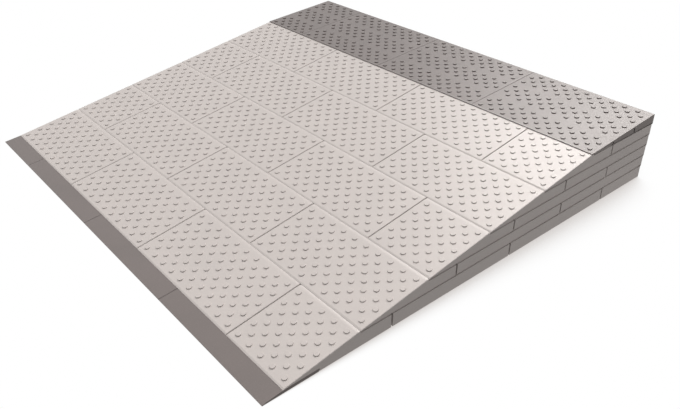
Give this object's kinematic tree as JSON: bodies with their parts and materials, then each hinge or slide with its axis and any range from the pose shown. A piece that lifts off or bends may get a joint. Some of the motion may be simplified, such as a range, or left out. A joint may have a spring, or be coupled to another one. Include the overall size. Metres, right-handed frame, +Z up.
{
  "type": "modular threshold ramp",
  "caption": "Straight-sided threshold ramp of stacked, keyed plastic modules in running bond, with studded sloping treads, dark front edge strips and dark top plates.",
  "frame": {"origin": "on the floor, under the middle of the ramp's outline", "axes": "+X across the ramp to the right as one walks up it, +Y uphill to the door step, +Z up"},
  "size_m": [0.7486, 0.7156, 0.104],
  "materials": {
    "light_plastic": "satin light grey moulded polyethylene, finely speckled",
    "dark_plastic": "satin dark grey moulded polyethylene, finely speckled"
  },
  "bodies": {
    "root": {"edge_strip_1": "dark_plastic", "edge_strip_2": "dark_plastic", "edge_strip_3": "dark_plastic", "edge_strip_4": "dark_plastic", "layer_1_block_1_left": "light_plastic", "layer_1_block_1_middle": "light_plastic", "layer_1_block_1_right": "light_plastic", "layer_1_block_2_left": "light_plastic", "layer_1_block_2_middle": "light_plastic", "layer_1_block_2_right": "light_plastic", "layer_1_block_3_left": "light_plastic", "layer_1_block_3_middle": "light_plastic", "layer_1_block_3_right": "light_plastic", "layer_2_block_1_left": "light_plastic", "layer_2_block_1_middle": "light_plastic", "layer_2_block_1_right": "light_plastic", "layer_2_block_2_left": "light_plastic", "layer_2_block_2_middle": "light_plastic", "layer_2_block_2_right": "light_plastic", "layer_3_block_1_left": "light_plastic", "layer_3_block_1_middle": "light_plastic", "layer_3_block_1_right": "light_plastic", "layer_3_block_2_left": "light_plastic", "layer_3_block_2_middle": "light_plastic", "layer_3_block_2_right": "light_plastic", "layer_4_block_1_left": "light_plastic", "layer_4_block_1_middle": "light_plastic", "layer_4_block_1_right": "light_plastic", "layer_5_block_1_left": "light_plastic", "layer_5_block_1_middle": "light_plastic", "layer_5_block_1_right": "light_plastic", "lock_pins": "dark_plastic", "slope_row_1_1": "light_plastic", "slope_row_1_2": "light_plastic", "slope_row_1_3": "light_plastic", "slope_row_1_4": "light_plastic", "slope_row_2_1": "light_plastic", "slope_row_2_2": "light_plastic", "slope_row_2_3": "light_plastic", "slope_row_2_4": "light_plastic", "slope_row_3_1": "light_plastic", "slope_row_3_2": "light_plastic", "slope_row_3_3": "light_plastic", "slope_row_3_4": "light_plastic", "slope_row_4_1": "light_plastic", "slope_row_4_2": "light_plastic", "slope_row_4_3": "light_plastic", "slope_row_4_4": "light_plastic", "slope_row_5_1": "light_plastic", "slope_row_5_2": "light_plastic", "slope_row_5_3": "light_plastic", "slope_row_5_4": "light_plastic", "top_plate_1": "dark_plastic", "top_plate_2": "dark_plastic", "top_plate_3": "dark_plastic", "top_plate_4": "dark_plastic"}
  },
  "joints": []
}
